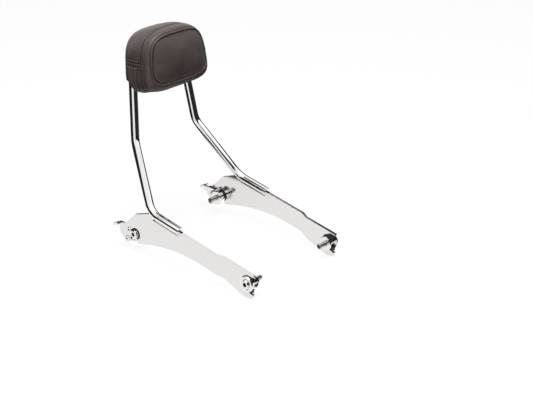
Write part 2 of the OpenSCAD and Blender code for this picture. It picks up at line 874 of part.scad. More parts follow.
module back_cover_screws() {
    color("silver")
        for (p = cover_screw_spots)
            forward_screw(p, -pad_back, bracket_n + bracket_t - 0.3, cover_screw_r, 4.75, 2.6, 3);
}

hoop_tube();
tube_plug(1);  // tube_plug_left
tube_plug(-1);  // tube_plug_right
side_plate(1);  // side_plate_left
side_plate(-1);  // side_plate_right
dock_liner_rear(1);  // dock_liner_rear_left
dock_liner_rear(-1);  // dock_liner_rear_right
dock_liner_front(1);  // dock_liner_front_left
dock_liner_front(-1);  // dock_liner_front_right
dock_spool(1, [0, 0], rear_spool_y);  // dock_spool_rear_left
dock_spool(-1, [0, 0], rear_spool_y);  // dock_spool_rear_right
dock_spool(1, front_axis, front_spool_y);  // dock_spool_front_left
dock_spool(-1, front_axis, front_spool_y);  // dock_spool_front_right
dock_bolt(1, [0, 0], rear_spool_y);  // dock_bolt_rear_left
dock_bolt(-1, [0, 0], rear_spool_y);  // dock_bolt_rear_right
dock_bolt(1, front_axis, front_spool_y + cup_t - cup_dish);  // dock_bolt_front_left
dock_bolt(-1, front_axis, front_spool_y + cup_t - cup_dish);  // dock_bolt_front_right
cup_washer(1);  // cup_washer_left
cup_washer(-1);  // cup_washer_right
latch_lever(1);  // latch_lever_left
latch_lever(-1);  // latch_lever_right
latch_pivot_screw(1);  // latch_pivot_screw_left
latch_pivot_screw(-1);  // latch_pivot_screw_right
latch_stop_screw(1);  // latch_stop_screw_left
latch_stop_screw(-1);  // latch_stop_screw_right
latch_nuts(1);  // latch_nuts_left
latch_nuts(-1);  // latch_nuts_right
latch_spring(1);  // latch_spring_left
latch_spring(-1);  // latch_spring_right
pad_bracket();
pad_pan();
pad_foam();
pad_cover();
back_cover();
pad_tee_nuts();
pad_washers();
pad_screws();
back_cover_screws();
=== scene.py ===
"""Sissy bar with a leather backrest: materials, padding, thread, springs and studio."""

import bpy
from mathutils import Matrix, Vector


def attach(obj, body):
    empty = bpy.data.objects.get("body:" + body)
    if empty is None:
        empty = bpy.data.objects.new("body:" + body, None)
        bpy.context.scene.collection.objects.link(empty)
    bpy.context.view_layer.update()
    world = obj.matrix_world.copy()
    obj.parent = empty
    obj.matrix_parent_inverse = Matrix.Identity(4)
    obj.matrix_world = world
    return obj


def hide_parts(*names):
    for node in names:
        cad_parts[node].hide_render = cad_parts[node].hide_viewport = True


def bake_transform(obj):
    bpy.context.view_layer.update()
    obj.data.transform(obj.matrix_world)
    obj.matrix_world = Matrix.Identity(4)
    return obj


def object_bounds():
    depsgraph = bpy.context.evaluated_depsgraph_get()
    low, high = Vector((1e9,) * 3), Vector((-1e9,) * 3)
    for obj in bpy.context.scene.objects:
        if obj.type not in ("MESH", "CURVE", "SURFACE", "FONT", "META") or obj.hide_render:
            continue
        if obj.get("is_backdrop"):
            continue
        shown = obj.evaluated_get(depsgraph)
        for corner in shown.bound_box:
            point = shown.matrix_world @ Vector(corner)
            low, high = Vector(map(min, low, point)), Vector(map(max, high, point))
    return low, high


bl_info = {
    "name": "Sissy bar dresser",
    "version": (1, 0, 0),
    "blender": (4, 5, 0),
    "location": "View3D > Sidebar > Sissy bar",
    "description": "Pads, stitches and finishes the packed sissy bar and lights it",
    "category": "Object",
}

import math
from functools import cached_property

import bmesh
import bpy
from bpy.props import FloatProperty, FloatVectorProperty, IntProperty, PointerProperty
from bpy.types import Operator, Panel, PropertyGroup
from mathutils import Matrix, Vector, noise
from mathutils.bvhtree import BVHTree

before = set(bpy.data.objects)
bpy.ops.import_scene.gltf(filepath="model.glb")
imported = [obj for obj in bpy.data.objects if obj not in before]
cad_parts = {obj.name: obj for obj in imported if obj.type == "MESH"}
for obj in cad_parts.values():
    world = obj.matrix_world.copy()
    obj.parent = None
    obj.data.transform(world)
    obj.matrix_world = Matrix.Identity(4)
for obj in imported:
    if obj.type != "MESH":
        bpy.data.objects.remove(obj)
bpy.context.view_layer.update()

SIDES = (("left", 1), ("right", -1))
# Axes of the bolts and screws that run across, as (ahead of, above) the rear docking axis
DOCK_REAR, DOCK_FRONT = (0, 0), (0.287, -0.009)
LATCH_PIVOT, LATCH_STOP = (-0.0147, 0.0048), (-0.0208, -0.0158)


# Sizes and colours


def length(name, description, default, low=0.0, high=1.0):
    """A size in metres that the sidebar shows."""
    return FloatProperty(
        name=name, description=description, default=default, min=low, max=high,
        unit="LENGTH", subtype="DISTANCE", precision=4,
    )


def angle(name, description, degrees, low=-180, high=180):
    """An angle that the sidebar shows, given here in degrees."""
    return FloatProperty(
        name=name, description=description, default=math.radians(degrees),
        min=math.radians(low), max=math.radians(high), subtype="ANGLE",
    )


def number(name, description, default, low, high, subtype="NONE"):
    """A plain number that the sidebar shows."""
    return FloatProperty(
        name=name, description=description, default=default, min=low, max=high, subtype=subtype,
    )


def colour(name, description, default):
    """A plain colour that the sidebar shows."""
    return FloatVectorProperty(
        name=name, description=description, default=default, min=0, max=1,
        size=3, subtype="COLOR",
    )


class PadSizes(PropertyGroup):
    bend_back: length("Upper bend, back", "From the docking axis back to the upper bend", 0.035)
    bend_up: length("Upper bend, up", "From the docking axis up to the upper bend", 0.167)
    lean: angle("Lean", "Backward lean of the uprights", 7, 0, 30)
    middle_up: length("Middle of the pad", "From the upper bend up to the pad's middle", 0.153)
    half_width: length("Half width", "Half width of the pad at mid height", 0.0766)
    half_height: length("Half height", "Half height of the pad", 0.057)
    taper: number("Taper", "Share by which the pad narrows upwards", 0.10, 0, 0.3, "FACTOR")
    top_square: number("Upper corners", "Squareness of the upper corners", 3.2, 2, 8)
    low_square: number("Lower corners", "Squareness of the lower corners", 5.0, 2, 8)
    back: length("Back", "From the hoop's plane to the back of the pad", 0.0115)
    seam: length("Seam", "From the hoop's plane to the seam round the face", 0.0385)
    crown: length("Crown", "Height of the crowned face above the seam", 0.027)
    crown_power: number("Crown power", "Fullness of the crowned face", 4.6, 1.5, 8)
    leather: length("Leather", "Thickness of the leather", 0.0022)
    panel_width: length("Panel, half width", "Half width of the sewn panel", 0.0672)
    panel_height: length("Panel, half height", "Half height of the sewn panel", 0.0438)
    panel_up: length("Panel, raised", "Middle of the panel over the pad's middle", 0.0026)
    panel_square: number("Panel corners", "Squareness of the panel's corners", 3.9, 2, 8)
    panel_depth: length("Panel groove", "Depth of the sewn groove round the panel", 0.0026)
    strip: length("Strip", "Width of the raised strip round the panel", 0.0058)
    seam_depth: length("Seam depth", "Depth of the seam between face and side band", 0.0022)
    mid_seam: length("Cross seam", "Upper cross seam over the pad's middle", 0.003, -0.05, 0.05)
    cross_gap: length("Cross seam pair", "Between the two cross seams of the side band", 0.0072)
    band_line: length("Band line", "From the seam to the sewn line on the side band", 0.0066)
    channel_first: length("First channel", "From the seam to the first sewn channel", 0.0112)
    channel_step: length("Channel step", "From one sewn channel to the next", 0.0080)
    channels: IntProperty(name="Channels", description="Channels of each corner", default=4, min=0, max=8)
    rim: length("Rim", "Half width of the leather's rim at the back", 0.0692)
    puff: length("Puff", "Most that the padding swells", 0.0035)
    leg_low: length("Leg, low", "From the middle to a leg, at the upper bend", 0.081)
    leg_high: length("Leg, high", "From the middle to a leg, halfway up the pad", 0.0635)
    slot_top: length("Slot, top", "From the pad's middle down to the slots' ends", 0.029)
    tube_room: length("Room round the legs", "Radius of the opening for each leg", 0.0085)


class ThreadSizes(PropertyGroup):
    pitch: length("Stitch pitch", "From stitch to stitch", 0.0042)
    reach: length("Stitch length", "Length of one stitch", 0.0031)
    thickness: length("Thread", "Thickness of the thread", 0.0007)
    beside: length("Beside the seam", "From the box seam to a row", 0.0033)
    cross: length("Beside a cross seam", "From a cross seam to a row", 0.0022)
    slant: angle("Slant", "How far a stitch slants across its row", 6)


class SpringSizes(PropertyGroup):
    wire: length("Wire", "Thickness of the spring wire", 0.001)
    coil: length("Coil", "Mean radius of the coil", 0.0038)
    turns: number("Turns", "Full turns of the coil", 3.0, 1, 8)
    begin: angle("First end", "Where the coil begins", -16.5)
    extra: angle("Part turn", "What the coil turns beyond its full turns", 91.5, 0, 360)
    inner_y: length("Inner end", "From the plane of symmetry to the fixed end", 0.1092)
    outer_y: length("Outer end", "From the plane of symmetry to the moving end", 0.1129)
    pivot_x: length("Pivot, ahead", "From the docking axis ahead to the pivot", LATCH_PIVOT[0], -1)
    pivot_z: length("Pivot, up", "From the docking axis up to the pivot", LATCH_PIVOT[1])
    fixed_leg: length("Fixed leg", "Length of the leg that rests on the rack", 0.0255)
    moving_leg: length("Moving leg", "Length of the leg that pushes the lever", 0.017)


class Finishes(PropertyGroup):
    leather: colour("Leather", "Dark brown-black leather", (0.056, 0.038, 0.033))
    leather_high: colour("Leather, raised", "Stretched and rubbed leather", (0.09, 0.066, 0.059))
    thread: colour("Thread", "Sewing thread", (0.085, 0.068, 0.062))
    chrome: colour("Chrome", "Bright chrome plate", (0.875, 0.853, 0.847))
    zinc: colour("Zinc", "Dull zinc plate", (0.62, 0.61, 0.58))
    wire: colour("Spring wire", "Drawn spring wire", (0.42, 0.41, 0.39))
    rubber: colour("Liner", "Black moulded liner", (0.018, 0.018, 0.018))
    paint: colour("Bracket", "Satin black powder coat", (0.02, 0.02, 0.021))
    plastic: colour("Back cover", "Black moulded plastic", (0.024, 0.023, 0.023))
    foam: colour("Foam", "Cut polyurethane foam", (0.30, 0.28, 0.24))


class StageSizes(PropertyGroup):
    floor: colour("Floor", "Pale studio floor", (0.42, 0.42, 0.42))
    glow: number("Floor glow", "White that the camera and the shine see in the floor", 1.36, 0, 5)
    glow_share: number("Floor glow, share", "Share of that white in the floor's look", 0.66, 0, 1, "FACTOR")
    sky: number("World", "Strength of the soft light all round", 0.22, 0, 5)
    card: length("Near card", "Distance of the card that runs from the front round the left", 0.40)
    card_from: angle("Near card from", "Where the near card begins, turned from straight ahead", -51)
    card_to: angle("Near card to", "Where the near card ends and the rear card begins", 136)
    rear_card: length("Rear card", "Distance of the card behind the part", 0.25, 0, 5)
    rear_turn: angle("Rear card lifted from", "Where the rear card's foot leaves the floor", 212, 0, 360)
    rear_to: angle("Rear card to", "Where the rear card and the far card end", 250, 0, 360)
    far_card: length("Far card", "Distance of the card behind the rear card", 0.625, 0, 5)
    far_from: angle("Far card from", "Where the far card begins", 192, 0, 360)
    lens: FloatProperty(name="Lens", description="Focal length", default=91.65, min=10, unit="CAMERA")
    spread: length("Floor size", "Half the width of the floor", 30.0, 1, 200)


# Material nodes


def operator_pair(kind):
    """An operator on values, and its reflected form."""
    def plain(self, other):
        return self.nodes.maths(kind, self, other)

    def reflected(self, other):
        return self.nodes.maths(kind, other, self)

    return plain, reflected


class Value:
    """A socket of a node tree that can be used in sums."""

    __add__, __radd__ = operator_pair("ADD")
    __sub__, __rsub__ = operator_pair("SUBTRACT")
    __mul__, __rmul__ = operator_pair("MULTIPLY")
    __truediv__, __rtruediv__ = operator_pair("DIVIDE")

    def __init__(self, nodes, socket):
        self.nodes = nodes
        self.socket = socket


class Nodes:
    """The node tree of a material or of the world, and the calls that build it."""

    def __init__(self, owner, out_kind):
        owner.use_nodes = True
        self.tree = owner.node_tree
        self.tree.nodes.clear()
        self.out = self.tree.nodes.new(out_kind)

    def add(self, kind, settings=None, inputs=None, output=0):
        """Adds a node, its settings first, then the values or links of its sockets."""
        node = self.tree.nodes.new(kind)
        for key, value in (settings or {}).items():
            setattr(node, key, value)
        for key, value in (inputs or {}).items():
            self.feed(node.inputs[key], value)
        return Value(self, node.outputs[output])

    def feed(self, socket, value):
        """Links a socket, or sets it to a plain value."""
        if isinstance(value, Value):
            self.tree.links.new(value.socket, socket)
        elif isinstance(value, (tuple, list)) and len(value) == 3 and len(socket.default_value) == 4:
            socket.default_value = (*value, 1)
        else:
            socket.default_value = value

    def maths(self, kind, *values):
        """Adds one sum of numbers or sockets."""
        return self.add("ShaderNodeMath", {"operation": kind}, dict(enumerate(values)))

    def finish(self, surface):
        """Links a shader to the tree's output."""
        self.feed(self.out.inputs["Surface"], surface)

    def seen(self):
        """1 on the rays of the camera, of the shine and of glass."""
        kinds = ("Is Camera Ray", "Is Glossy Ray", "Is Transmission Ray")
        camera, shine, glass = (self.add("ShaderNodeLightPath", output=kind) for kind in kinds)
        return camera + shine + glass


class Sheet(Nodes):
    """A new material with one surface shader."""

    def __init__(self, name):
        self.material = bpy.data.materials.new(name)
        super().__init__(self.material, "ShaderNodeOutputMaterial")
        self.surface = self.add("ShaderNodeBsdfPrincipled")
        self.finish(self.surface)

    def set(self, **values):
        """Sets sockets of the surface shader by name, with _ for a space, and gives the material."""
        for key, value in values.items():
            self.feed(self.surface.socket.node.inputs[key.replace("_", " ")], value)
        return self.material

    @cached_property
    def at(self):
        """Place on the piece, in metres."""
        return self.add("ShaderNodeTexCoord", output="Object")

    def cloud(self, scale, detail, rough=0.55):
        """Soft noise from 0 to 1 over the piece."""
        inputs = {"Vector": self.at, "Scale": scale, "Detail": detail, "Roughness": rough}
        return self.add("ShaderNodeTexNoise", None, inputs)

    def cells(self, scale, feature="F1", smooth=None):
        """Distances in a pattern of cells over the piece."""
        inputs = {"Vector": self.at, "Scale": scale}
        if smooth is not None:
            inputs["Smoothness"] = smooth
        return self.add("ShaderNodeTexVoronoi", {"feature": feature}, inputs)

    def spread(self, value, low, high, to_low=0.0, to_high=1.0):
        """Maps a value from one range to another, held at the ends."""
        return self.add(
            "ShaderNodeMapRange", {"clamp": True},
            {"Value": value, "From Min": low, "From Max": high, "To Min": to_low, "To Max": to_high},
        )

    def blend(self, share, a, b):
        """Mixes two colours by a share."""
        return self.add("ShaderNodeMix", {"data_type": "RGBA"}, {0: share, 6: a, 7: b}, output=2)

    def below(self, value, limit):
        """1 where a value is under a limit."""
        return self.maths("LESS_THAN", value, limit)

    def inside_socket(self, out, axis, radius, top):
        """1 inside a key socket round an axis that runs across, under the top of its head, where shade is
        painted.
        """
        kind = "ShaderNodeVectorMath"
        flat = self.add(kind, {"operation": "MULTIPLY"}, {0: self.at, 1: (1, 0, 1)})
        centre = (axis[0], 0, axis[1])
        gap = self.add(kind, {"operation": "DISTANCE"}, {0: flat, 1: centre}, output="Value")
        return self.below(gap, radius) * self.below(out, top)

    def bump(self, height, depth, strength):
        """Normals of a surface that a height raises by up to a depth in metres."""
        inputs = {"Height": height, "Distance": depth, "Strength": strength}
        return self.add("ShaderNodeBump", None, inputs)


def shade(tone, factor=1.0, lift=0.0):
    """A colour made lighter or darker."""
    return tuple(min(1, c * factor + lift) for c in tone)


def leather_finish(tones):
    """Soft dark leather with a fine pebble grain, rubbed on the high spots, dull in the seams and with
    painted shade in its sewn grooves.
    """
    s = Sheet("soft_leather")
    warp = s.cloud(220, 2.0)
    pebble = s.cells(760, "SMOOTH_F1", 0.35)
    crease = s.cells(260, "DISTANCE_TO_EDGE")
    pores = s.cloud(3200, 2.0)
    broad = s.cloud(24, 4.0, 0.6)
    # The seam attribute is painted shade: how far each point lies in the shade of a sewn groove
    seam = s.add("ShaderNodeAttribute", {"attribute_name": "seam"}, output="Fac")
    grain = pebble * 0.75 + s.spread(crease, 0.0, 0.12) * 0.35 + pores * 0.2 + warp * 0.25
    lift = s.spread(broad, 0.35, 0.68) * 0.55 + s.spread(pebble, 0.15, 0.55) * 0.25
    hide = s.blend(lift, shade(tones.leather), shade(tones.leather_high))
    return s.set(
        # Painted shade: the base colour darkens to a fifth of the leather's along the sewn grooves
        Base_Color=s.blend(s.spread(seam, 0.15, 0.9, 0.0, 0.95), hide, shade(tones.leather, 0.2)),
        Roughness=s.spread(broad, 0.3, 0.7, 0.33, 0.43) + s.spread(pebble, 0.1, 0.6, 0.0, 0.06)
        + s.spread(seam, 0.2, 1.0, 0.0, 0.3),
        Normal=s.bump(grain, 0.00028, 0.7),
        Specular_IOR_Level=0.55,
    )


def thread_finish(tones):
    """Waxed thread, mottled by its twist."""
    s = Sheet("sewing_thread")
    twist = s.cloud(2400, 2.0)
    return s.set(
        Base_Color=s.blend(twist, shade(tones.thread, 0.7), shade(tones.thread, 1.5)),
        Roughness=s.spread(twist, 0.2, 0.8, 0.55, 0.75),
        Normal=s.bump(twist, 0.0001, 0.5),
    )


def chrome_finish(name, tone, rough, wave=0.00002, scale=35):
    """Bright plate: a slight unevenness under the shine, faint wipe marks in the gloss."""
    s = Sheet(name)
    wipe = s.cloud(scale * 6, 5.0, 0.65)
    uneven = s.cloud(scale, 2.0, 0.5)
    return s.set(
        Base_Color=s.blend(s.spread(wipe, 0.4, 0.7), shade(tone), shade(tone, 0.965)),
        Metallic=1.0,
        Roughness=s.spread(wipe, 0.3, 0.75, rough, rough * 1.9),
        Normal=s.bump(uneven, wave, 0.35),
    )


def screw_finish(name, tone, thread_from, pitch, sockets):
    """Bright plate with painted shade in its key sockets, and a rolled thread nearer the middle than a
    distance, with painted shade in its roots.
    """
    s = Sheet(name)
    across = s.add("ShaderNodeSeparateXYZ", None, {"Vector": s.at}, output="Y")
    out = s.maths("ABSOLUTE", across)
    tooth = s.maths("PINGPONG", s.maths("FRACT", out / pitch) * 2.0, 1.0)
    threaded = s.below(out, thread_from)
    wipe = s.cloud(300, 4.0, 0.6)
    # Painted shade: the base colour darkens inside the key sockets and in the roots of the thread, where
    # shade falls
    painted_socket_shade = sum((s.inside_socket(out, *socket) for socket in sockets), 0.0)
    dark = threaded * (1 - tooth) * 0.6 + painted_socket_shade * 0.9
    return s.set(
        Base_Color=s.blend(dark, shade(tone), shade(tone, 0.1)),
        Metallic=1.0,
        Roughness=s.spread(wipe, 0.3, 0.75, 0.08, 0.16),
        Normal=s.bump(tooth * threaded, pitch * 0.45, 1.0),
    )


def dull_metal_finish(name, tone, rough):
    """Zinc plate or drawn wire, slightly patchy."""
    s = Sheet(name)
    grain = s.cloud(900, 4.0, 0.6)
    patch = s.cloud(120, 3.0, 0.6)
    return s.set(
        Base_Color=s.blend(s.spread(patch, 0.35, 0.7), shade(tone), shade(tone, 0.8)),
        Metallic=1.0,
        Roughness=s.spread(grain, 0.25, 0.75, rough * 0.85, rough * 1.25),
        Normal=s.bump(grain, 0.00003, 0.4),
    )


def black_finish(name, tone, rough, grain_scale, depth):
    """Painted, moulded or rubber black, by its roughness and grain."""
    s = Sheet(name)
    grain = s.cells(grain_scale, "SMOOTH_F1", 0.5)
    patch = s.cloud(60, 4.0, 0.6)
    return s.set(
        Base_Color=s.blend(s.spread(patch, 0.35, 0.7), shade(tone), shade(tone, 1.5, 0.003)),
        Roughness=s.spread(patch, 0.3, 0.7, rough * 0.9, rough * 1.15),
        Normal=s.bump(grain, depth, 0.6),
    )


def foam_finish(tones):
    """Cut foam with open cells."""
    s = Sheet("cut_foam")
    cell = s.cells(900)
    return s.set(
        Base_Color=s.blend(s.spread(cell, 0.1, 0.7), shade(tones.foam), shade(tones.foam, 0.6)),
        Roughness=s.spread(cell, 0.1, 0.7, 0.8, 0.95),
        Normal=s.bump(cell, 0.0004, 0.8),
    )


# Mesh helpers


def linked(name, bm):
    """Makes a linked object of a bmesh, at the origin, and frees the bmesh."""
    mesh = bpy.data.meshes.new(name)
    bm.to_mesh(mesh)
    bm.free()
    piece = bpy.data.objects.new(name, mesh)
    bpy.context.scene.collection.objects.link(piece)
    return piece


def smoothed(piece):
    """Shades all faces of a piece smooth."""
    faces = piece.data.polygons
    faces.foreach_set("use_smooth", [True] * len(faces))


def finish_mesh(name, bm, material, body, slot, *stands_for):
    """Makes a smooth piece of a bmesh with its finish, rides it on its body if it has one, and hides the
    CAD nodes that it stands for.
    """
    bm.normal_update()
    piece = linked(name, bm)
    smoothed(piece)
    piece.data.materials.append(material)
    if body:
        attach(piece, body)
    if stands_for:
        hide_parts(*stands_for)
    return piece


def both(*names):
    """Names of the left and right nodes of each name."""
    return [f"{name}_{side}" for name in names for side, _ in SIDES]


def dress(names, material):
    """Gives CAD nodes a finish in place of their plain colour."""
    for name in names:
        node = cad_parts[name]
        node.data.materials.clear()
        node.data.materials.append(material)


def pad_space(sizes):
    """The pad's own axes: X forwards, Y across, Z up the lean, from the hoop's upper bend."""
    turn = Matrix.Rotation(-sizes.lean, 4, "Y")
    return Matrix.Translation((-sizes.bend_back, 0, sizes.bend_up)) @ turn


# The pad: its outline, its rings and its sewn face


def edge_point(width, height, taper, top_square, low_square, t):
    """Point of a tapered rounded outline at an angle."""
    c, q = math.cos(t), math.sin(t)
    power = 2 / (top_square if q > 0 else low_square)
    up = math.copysign(abs(q) ** power, q)
    across = math.copysign(abs(c) ** power, c) * (1 - taper * up)
    return Vector((across * width, up * height))


def pad_edge(sizes, t):
    """Point of the pad's outline, seen from the front."""
    s = sizes
    return edge_point(s.half_width, s.half_height, s.taper, s.top_square, s.low_square, t)


def panel_edge(sizes, t):
    """Point of the sewn panel's outline, seen from the front."""
    square = sizes.panel_square
    p = edge_point(sizes.panel_width, sizes.panel_height, sizes.taper, square, square, t)
    return p + Vector((0, sizes.panel_up))


def sweep(i, count):
    """Angle of a step round the pad, with steps that shrink where its outline moves fast."""
    quarter, share = divmod(4 * i / count, 1)
    soft = share**3 / (share**3 + (1 - share) ** 3)
    return (quarter + soft) * math.pi / 2


def ring_angles(sizes, fine):
    """Angles round the pad at even steps of its edge, closer where the cross seams are sewn."""
    samples, closer = 2880, 3.2
    steps, total = [], 0.0
    for i in range(samples):
        p = pad_edge(sizes, sweep(i, samples))
        near = abs(p.y - sizes.mid_seam + sizes.cross_gap / 2) < sizes.cross_gap and abs(p.x) > 0.05
        step = (pad_edge(sizes, sweep(i + 1, samples)) - p).length * (closer if near else 1)
        steps.append(step)
        total += step
    count = int(total / fine)
    angles, walked, i = [], 0.0, 0
    for k in range(count):
        goal = total * k / count
        while walked + steps[i] < goal:
            walked += steps[i]
            i += 1
        angles.append(sweep(i + (goal - walked) / steps[i], samples))
    return angles


def share_at(sizes, across, up):
    """How far out a point lies in the pad's outline, 1 at its edge."""
    power = sizes.top_square if up > 0 else sizes.low_square
    share = 1.0
    for _ in range(6):
        level = max(-1, min(1, up / (sizes.half_height * share)))
        wide = sizes.half_width * (1 - sizes.taper * level)
        share = (abs(across / wide) ** power + abs(up / sizes.half_height) ** power) ** (1 / power)
        share = max(share, 1e-4)
    return share


def face_height(sizes, share):
    """How far the crowned face stands before the hoop's plane at a share of its size."""
    share = min(share, 1.0)
    return sizes.seam + sizes.crown * (1 - share**sizes.crown_power) ** (1 / sizes.crown_power)


def band_profile(sizes):
    """Section of the side band from the seam to the rim of the back: (forwards, share)."""
    rim = sizes.rim / sizes.half_width
    return [
        (sizes.seam, 1.0), (sizes.seam - 0.007, 1.012), (0.022, 1.016), (0.012, 1.003), (0.003, 0.978),
        (-0.004, 0.953), (-sizes.back + 0.0028, rim + 0.040), (-sizes.back + 0.0006, rim + 0.020),
        (-sizes.back, rim + 0.006), (-sizes.back + 0.0002, rim - 0.022),
    ]


def spaced(points, step):
    """Points along a line of (forwards, share) pairs, no further apart than a step."""
    out = [points[0]]
    for a, b in zip(points, points[1:]):
        gap = math.hypot(b[0] - a[0], (b[1] - a[1]) * 0.075)
        count = max(1, math.ceil(gap / step))
        out += [(a[0] + (b[0] - a[0]) * k / count, a[1] + (b[1] - a[1]) * k / count)
                for k in range(1, count + 1)]
    return out


def rings(sizes, fine):
    """The pad's rings from the middle of the face outwards, as (kind, share, forwards)."""
    inner = [0.04 + 0.036 * fine * k for k in range(int(0.90 / (0.036 * fine)))]
    inner = [k for k in inner if k < 0.935] + [0.95, 0.963, 0.975, 0.985, 0.993]
    strip = [0, 0.02, 0.045, 0.075, 0.11] + [0.15 + 0.05 * k for k in range(15)]
    strip += [0.88, 0.905, 0.928, 0.948, 0.965, 0.980, 0.992]
    out = [("panel", k, 0) for k in inner] + [("strip", k, 0) for k in strip]
    # Heights over the seam in tenths of a millimetre, where the face falls steeply to it
    for tenths in (74, 63, 53, 44, 36, 29, 23, 18, 14, 10, 7, 4):
        up = tenths / 10000
        share = (1 - (up / sizes.crown) ** sizes.crown_power) ** (1 / sizes.crown_power)
        out.append(("wall", share, sizes.seam + up))
    profile = band_profile(sizes)
    near = spaced([profile[0], (profile[0][0] - 0.0035, 1.006)], 0.0004 * fine)
    far = spaced([near[-1]] + profile[1:], 0.0012 * fine)[1:]
    return out + [("band", share, ahead) for ahead, share in near + far]


def band_share(sizes, ahead):
    """How wide the side band stands at a distance from the hoop's plane, 1 at the seam."""
    profile = band_profile(sizes)
    for a, b in zip(profile, profile[1:]):
        if a[0] >= ahead >= b[0]:
            return a[1] + (b[1] - a[1]) * (a[0] - ahead) / (a[0] - b[0])
    return 1.0


def ring_point(sizes, ring, t):
    """Point of a ring at an angle, in the pad's own axes."""
    kind, share, ahead = ring
    if kind in ("band", "wall"):
        flat = pad_edge(sizes, t) * share
    elif kind == "panel":
        flat = panel_edge(sizes, t) * share
    else:
        flat = panel_edge(sizes, t).lerp(pad_edge(sizes, t), share)
    if kind in ("panel", "strip"):
        ahead = face_height(sizes, share_at(sizes, flat.x, flat.y))
    return Vector((ahead, flat.x, sizes.middle_up + flat.y))


def loft(sizes, layout, angles):
    """Skins the pad by extruding one ring after another from the middle of the face."""
    place = pad_space(sizes)
    bm = bmesh.new()
    turn = bm.verts.layers.int.new("turn")
    level = bm.verts.layers.int.new("level")
    ring = bmesh.ops.create_circle(bm, cap_ends=False, segments=len(angles), radius=0.01)["verts"]
    for i, v in enumerate(ring):
        v[turn] = i
    edges = list(bm.edges)
    first = set(ring)

    def settle(verts, k):
        """Puts the points of one ring where they belong."""
        for v in verts:
            v.co = place @ ring_point(sizes, layout[k], angles[v[turn]])
            v[level] = k

    settle(ring, 0)
    for k in range(1, len(layout)):
        grown = bmesh.ops.extrude_edge_only(bm, edges=edges)["geom"]
        verts = [g for g in grown if isinstance(g, bmesh.types.BMVert)]
        fresh = set(verts)
        edges = [e for e in grown if isinstance(e, bmesh.types.BMEdge) and all(v in fresh for v in e.verts)]
        settle(verts, k)
    middle = [e for e in bm.edges if e.is_boundary and all(v in first for v in e.verts)]
    cap = bmesh.ops.contextual_create(bm, geom=middle)
    poked = bmesh.ops.poke(bm, faces=cap["faces"])
    for v in poked["verts"]:
        v.co = place @ Vector((face_height(sizes, 0), 0, sizes.middle_up))
        v[level] = 0
        v[turn] = 0
    return bm


# The copy that swells: size of its even cells, frames that it takes, and its cloth settings
CELL = 0.0045
SWELL_FRAMES = 20
SWELL = {
    "use_pressure": True, "uniform_pressure_force": 4.0, "vertex_group_mass": "held", "quality": 8,
    "mass": 0.3, "tension_stiffness": 12, "compression_stiffness": 12, "shear_stiffness": 6,
    "bending_stiffness": 0.6, "shrink_min": -0.005,
}


def swollen_pad(sizes):
    """A plain copy of the pad, blown up as cloth that is held at its seams."""
    layout = [r for i, r in enumerate(rings(sizes, 2.0)) if i % 2 == 0 or r[0] == "band"]
    bm = loft(sizes, layout, ring_angles(sizes, CELL))
    holes = [e for e in bm.edges if e.is_boundary]
    bmesh.ops.contextual_create(bm, geom=holes)
    bmesh.ops.recalc_face_normals(bm, faces=bm.faces)
    body = linked("swell", bm)
    applied(body, "REMESH", mode="VOXEL", voxel_size=CELL)
    held = body.vertex_groups.new(name="held")
    inside = pad_space(sizes).inverted()
    rest = [v.co.copy() for v in body.data.vertices]
    for v in body.data.vertices:
        p = inside @ v.co
        up = p.z - sizes.middle_up
        share = share_at(sizes, p.y, up)
        square = sizes.panel_square
        level = (up - sizes.panel_up) / sizes.panel_height
        wide = sizes.panel_width * (1 - sizes.taper * max(-1, min(1, level)))
        panel = (abs(p.y / wide) ** square + abs(level) ** square) ** (1 / square)
        if p.x < 0.0 or (abs(p.x - sizes.seam) < 0.003 and share > 0.9):
            held.add([v.index], 1.0, "REPLACE")
        elif p.x > sizes.seam and abs(panel - 1) < 0.035:
            held.add([v.index], 1.0, "REPLACE")
        elif p.x < sizes.seam and share > 0.9 and abs(up - sizes.mid_seam + sizes.cross_gap / 2) < 0.005:
            held.add([v.index], 0.9, "REPLACE")
    cloth = body.modifiers.new("padding", "CLOTH")
    for name, value in SWELL.items():
        setattr(cloth.settings, name, value)
    cloth.settings.effector_weights.gravity = 0
    cloth.collision_settings.use_collision = False
    cloth.point_cache.frame_start = 1
    cloth.point_cache.frame_end = SWELL_FRAMES
    for step in range(1, SWELL_FRAMES + 1):
        bpy.context.scene.frame_set(step)
    applied(body)
    bpy.context.scene.frame_set(1)
    for v, was in zip(body.data.vertices, rest):
        move = v.co - was
        if move.length > sizes.puff:
            v.co = was + move.normalized() * sizes.puff
    return body


def applied(piece, kind=None, **settings):
    """Bakes a piece's modifiers into its mesh, with one more of a kind if it is named."""
    if kind:
        extra = piece.modifiers.new(kind, kind)
        for name, value in settings.items():
            setattr(extra, name, value)
    graph = bpy.context.evaluated_depsgraph_get()
    mesh = bpy.data.meshes.new_from_object(piece.evaluated_get(graph))
    piece.modifiers.clear()
    old = piece.data
    piece.data = mesh
    bpy.data.meshes.remove(old)


def dip(distance, depth, width, shoulder):
    """Section of a seam: a valley between two rolled shoulders."""
    d = distance / width
    return -depth * math.exp(-d * d) + shoulder * depth * math.exp(-((abs(d) - 2.1) ** 2) / 1.4)


def smooth_step(low, high, value):
    """0 up to a low value, 1 from a high one, with a soft rise between."""
    t = max(0.0, min(1.0, (value - low) / (high - low)))
    return t * t * (3 - 2 * t)


def peak(gap, width):
    """1 on a line, falling softly to 0 beside it."""
    return math.exp(-((gap / width) ** 2))


